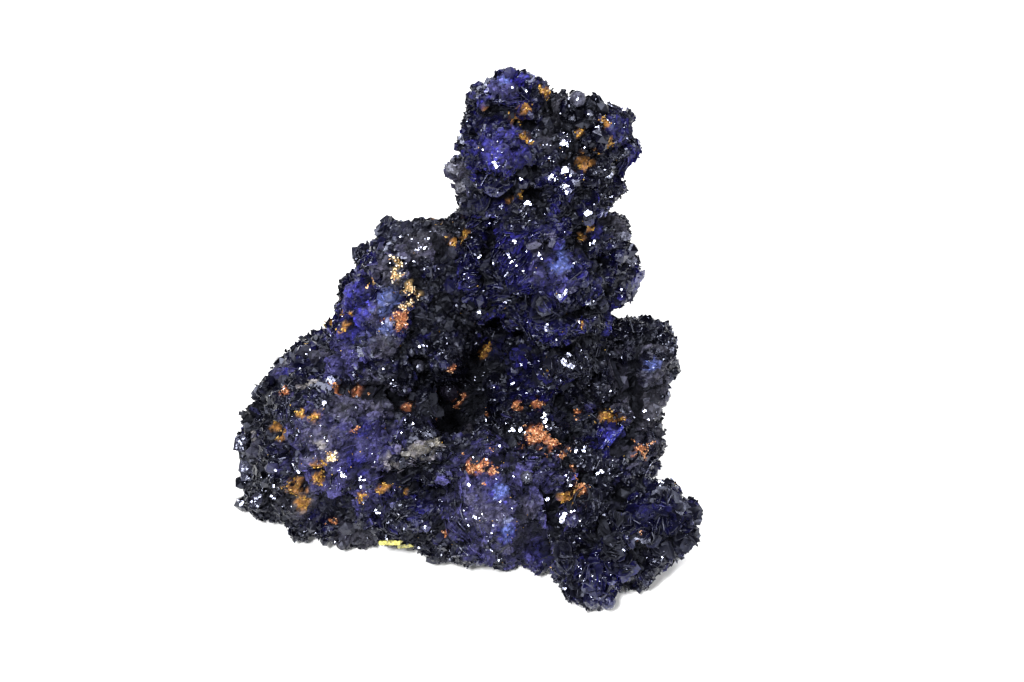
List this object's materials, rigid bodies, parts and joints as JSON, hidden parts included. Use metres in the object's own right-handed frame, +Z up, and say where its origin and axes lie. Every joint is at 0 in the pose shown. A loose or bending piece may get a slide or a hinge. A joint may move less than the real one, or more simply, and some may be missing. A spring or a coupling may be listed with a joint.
{
  "type": "azurite specimen",
  "caption": "Upright cluster of dark blue azurite crystals with a knobbly tower, a rounded mound, a central hollow and clay-filled crevices, cut flat to stand on its base.",
  "frame": {"origin": "on the surface that the specimen stands on, under the middle of its outline", "axes": "+X to the right and +Y to the back as the specimen is shown, +Z up"},
  "size_m": [0.1154, 0.0946, 0.1133],
  "materials": {
    "azurite": "near-black navy crystal with glassy facets, velvety blue patches, ochre clay and grey druse"
  },
  "bodies": {
    "root": {"azurite_specimen": "azurite"}
  },
  "joints": []
}
